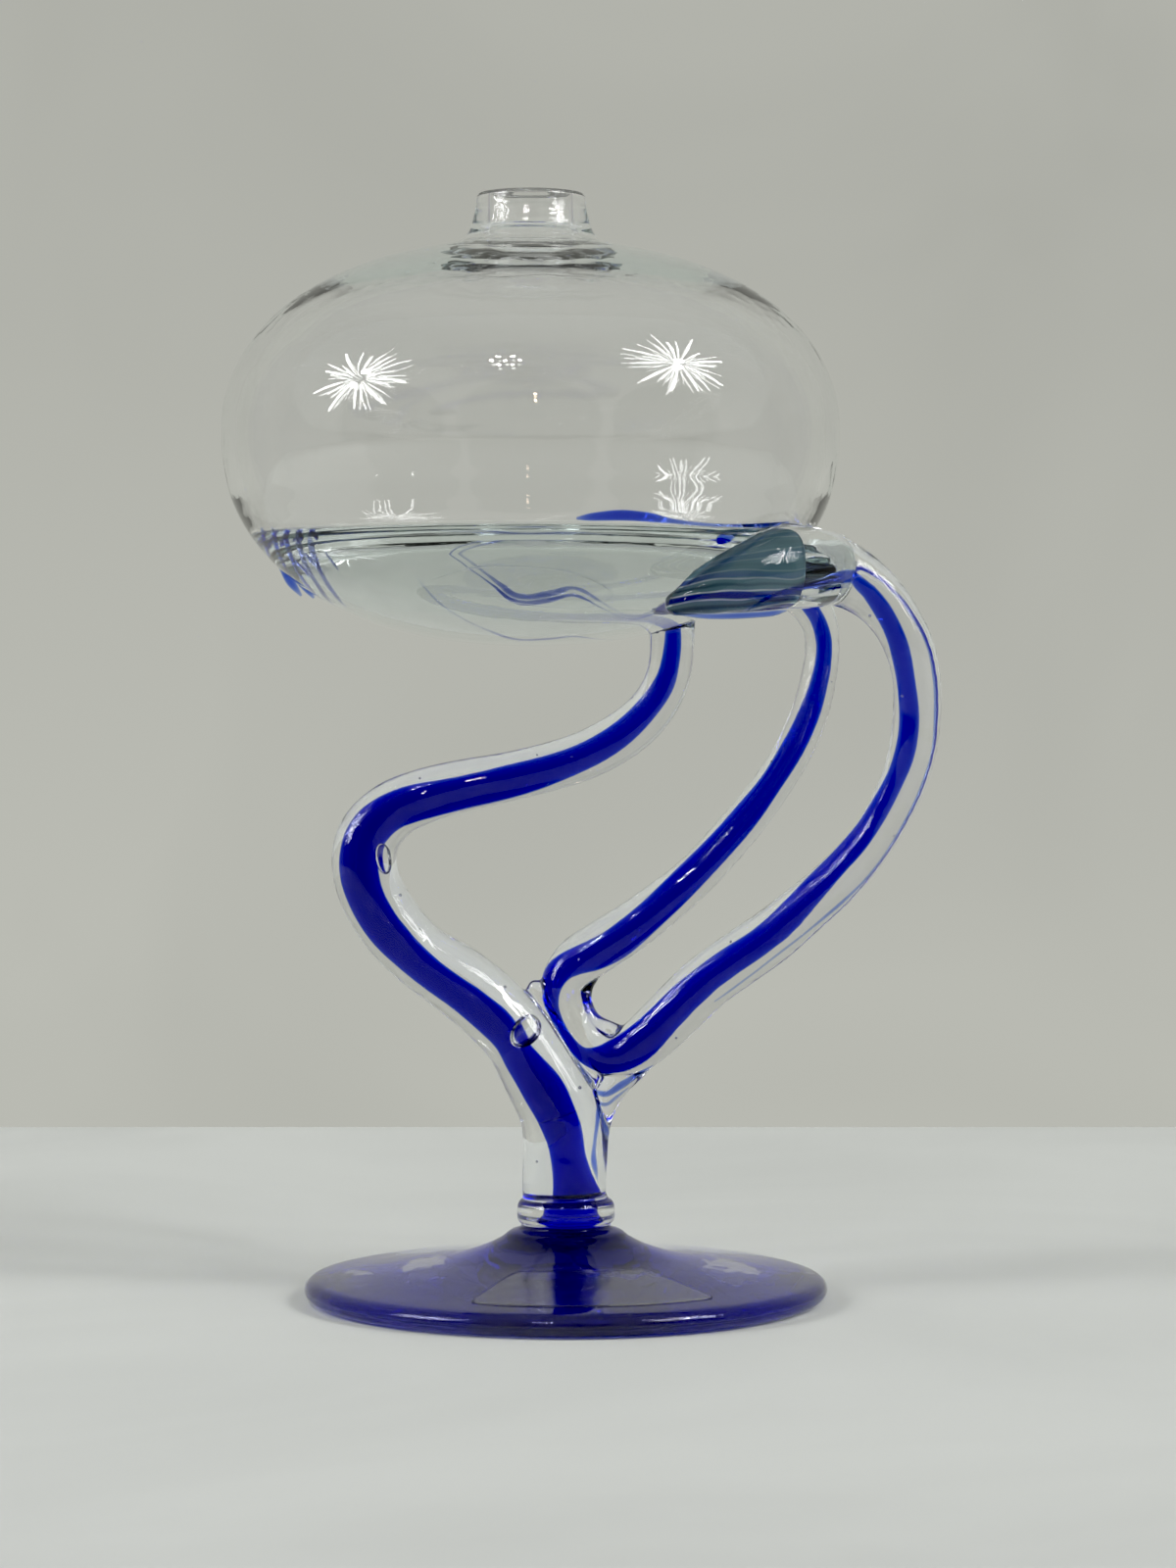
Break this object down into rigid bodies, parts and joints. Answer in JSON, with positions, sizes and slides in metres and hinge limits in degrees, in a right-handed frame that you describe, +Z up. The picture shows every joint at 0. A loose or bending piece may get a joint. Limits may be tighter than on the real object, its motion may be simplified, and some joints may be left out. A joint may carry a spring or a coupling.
{
  "type": "glass oil lamp",
  "caption": "Blown glass oil lamp: an oblate clear font with a short open neck, carried by bent clear arms with blue cores that rise from one trunk on a spun foot.",
  "frame": {"origin": "centre of the foot's resting plane, on the table", "axes": "+Z up, through the open neck; -Y is the front; +X is to the right, where the two outer arms meet the font"},
  "size_m": [0.1309, 0.113, 0.2024],
  "materials": {
    "font_glass": "clear, polished by the flame",
    "cane_glass": "clear, polished by the flame",
    "pad_glass": "clear with a grey-green depth",
    "foot_glass": "clear, polished by the flame",
    "foot_cobalt": "deep cobalt blue",
    "cobalt_core": "deep cobalt blue",
    "cobalt_streak": "deep cobalt blue wisps",
    "streaked_glass": "clear with blue streaks",
    "clear_film": "clear film, slightly satin"
  },
  "bodies": {
    "root": {"foot": "foot_glass", "foot_colour": "foot_cobalt", "foot_core": "foot_cobalt", "boss": "foot_glass", "trunk": "cane_glass", "trunk_core": "cobalt_core", "left_arm": "cane_glass", "left_core": "cobalt_core", "rear_arm": "cane_glass", "rear_core": "cobalt_core", "right_arm": "cane_glass", "right_core": "cobalt_core", "knee_web": "pad_glass", "knee_tail": "streaked_glass", "left_pad": "pad_glass", "rear_pad": "pad_glass", "right_pad": "pad_glass", "pad_streak": "cobalt_streak", "font": "font_glass", "floor_streak": "cobalt_streak", "base_streak": "cobalt_streak", "side_streak": "cobalt_streak", "label_film": "clear_film"}
  },
  "joints": []
}
